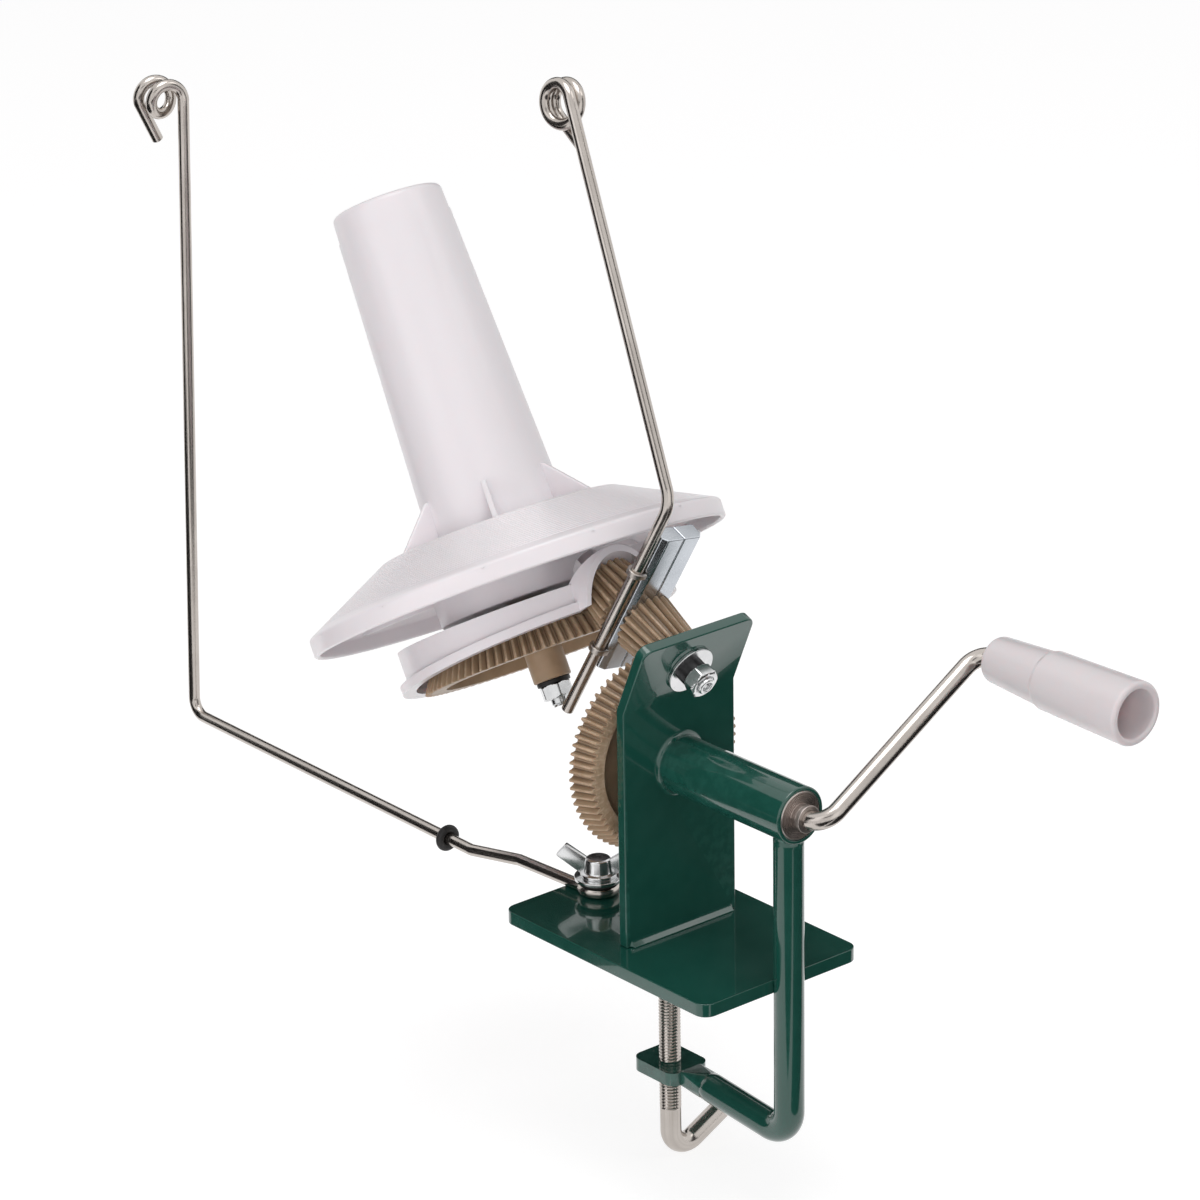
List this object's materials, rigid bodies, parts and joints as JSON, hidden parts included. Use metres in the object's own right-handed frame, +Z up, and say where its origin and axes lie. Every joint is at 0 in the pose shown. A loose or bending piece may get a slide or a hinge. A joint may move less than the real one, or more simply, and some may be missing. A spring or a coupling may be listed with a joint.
{
  "type": "yarn cone winder",
  "caption": "Hand-cranked yarn winder with a table clamp: a crank turns a tilted cone and a wire flyer through bevel gears, and a wire guide feeds the yarn.",
  "frame": {"origin": "where the axis of the clamp screw meets the underside of the base plate", "axes": "+Z up, at right angles to the table face; +X along the crank's shaft towards the handle; +Y across, to the side that the crank's arm rests on"},
  "size_m": [0.5337, 0.1977, 0.4672],
  "materials": {
    "green_paint": "gloss enamel paint",
    "bright_steel": "bright plated steel",
    "dark_steel": "drawn bare steel",
    "tan_plastic": "satin moulded plastic",
    "white_plastic": "glossy moulded plastic",
    "grip_plastic": "glossy moulded plastic",
    "black_rubber": "matt rubber"
  },
  "bodies": {
    "frame": {"base_plate": "green_paint", "upright_plate": "green_paint", "crank_tube": "green_paint", "front_bush": "bright_steel", "rear_bush": "bright_steel", "clamp_rod": "green_paint", "axle_bolt": "bright_steel", "axle_washer": "bright_steel", "axle_spring_washers": "dark_steel", "axle_nut": "bright_steel", "flyer_sleeve": "bright_steel", "thrust_washers": "bright_steel", "gear_cover": "white_plastic", "guide_washer": "black_rubber"},
    "crank": {"crank_rod_and_arm": "bright_steel", "crank_collar": "bright_steel", "drive_gear": "tan_plastic", "drive_gear_washer": "bright_steel", "drive_gear_nut": "bright_steel", "grip_retainer": "bright_steel"},
    "grip": {"handle_grip": "grip_plastic"},
    "flyer": {"lower_flyer_gear": "tan_plastic", "upper_flyer_gear": "tan_plastic", "front_flyer_bar": "bright_steel", "rear_flyer_bar": "bright_steel", "flyer_arm": "dark_steel", "arm_clips": "bright_steel"},
    "cone": {"ring_gear": "tan_plastic", "spindle_bolt": "bright_steel", "spindle_washer": "black_rubber", "spindle_nut": "bright_steel", "cone_flange": "white_plastic", "cone_tube": "white_plastic", "cone_cap": "white_plastic"},
    "foot": {"clamp_foot": "bright_steel"},
    "screw": {"clamp_screw": "bright_steel"},
    "guide": {"yarn_guide": "bright_steel", "guide_ring": "black_rubber"},
    "lifted_washer": {"wing_bolt_washer": "bright_steel"},
    "wing_bolt": {"wing_bolt": "bright_steel"}
  },
  "joints": [
    {"name": "crank_turn", "type": "hinge", "parent": "frame", "child": "crank", "pos_m": [0, 0, 0.0834], "axis": [1, 0, 0], "continuous": true},
    {"name": "grip_spin", "type": "hinge", "parent": "crank", "child": "grip", "pos_m": [0.0986, 0.0881, 0.13676], "axis": [1, 0, 0], "continuous": true},
    {"name": "flyer_turn", "type": "hinge", "parent": "frame", "child": "flyer", "pos_m": [0.01519, 0, 0.12835], "axis": [-0.9164, 0, 0.4003], "continuous": true},
    {"name": "cone_turn", "type": "hinge", "parent": "frame", "child": "cone", "pos_m": [-0.12813, 0, 0.19096], "axis": [-0.5137, 0.0203, 0.8577], "continuous": true},
    {"name": "clamp_slide", "type": "slide", "parent": "frame", "child": "foot", "axis": [0, 0, 1], "range_m": [-0.038, 0.011]},
    {"name": "clamp_screw_turn", "type": "hinge", "parent": "foot", "child": "screw", "pos_m": [0, 0, -0.042], "axis": [0, 0, 1], "range_deg": [-9121, 2641]},
    {"name": "guide_swing", "type": "hinge", "parent": "frame", "child": "guide", "pos_m": [-0.0434, -0.0024, 0.00875], "axis": [0, 0, 1], "range_deg": [-30, 30]},
    {"name": "wing_bolt_lift", "type": "slide", "parent": "frame", "child": "lifted_washer", "axis": [0, 0, 1], "range_m": [0, 0.0025]},
    {"name": "wing_bolt_turn", "type": "hinge", "parent": "lifted_washer", "child": "wing_bolt", "pos_m": [-0.0434, -0.0024, 0.00875], "axis": [0, 0, 1], "range_deg": [0, 721]}
  ],
  "couplings": [
    {"joint": "flyer_turn", "follows": "crank_turn", "ratio": 3.5},
    {"joint": "cone_turn", "follows": "crank_turn", "ratio": -0.88608},
    {"joint": "clamp_screw_turn", "follows": "clamp_slide", "rad_per_m": 4188.8},
    {"joint": "wing_bolt_turn", "follows": "wing_bolt_lift", "rad_per_m": 5026.5}
  ]
}
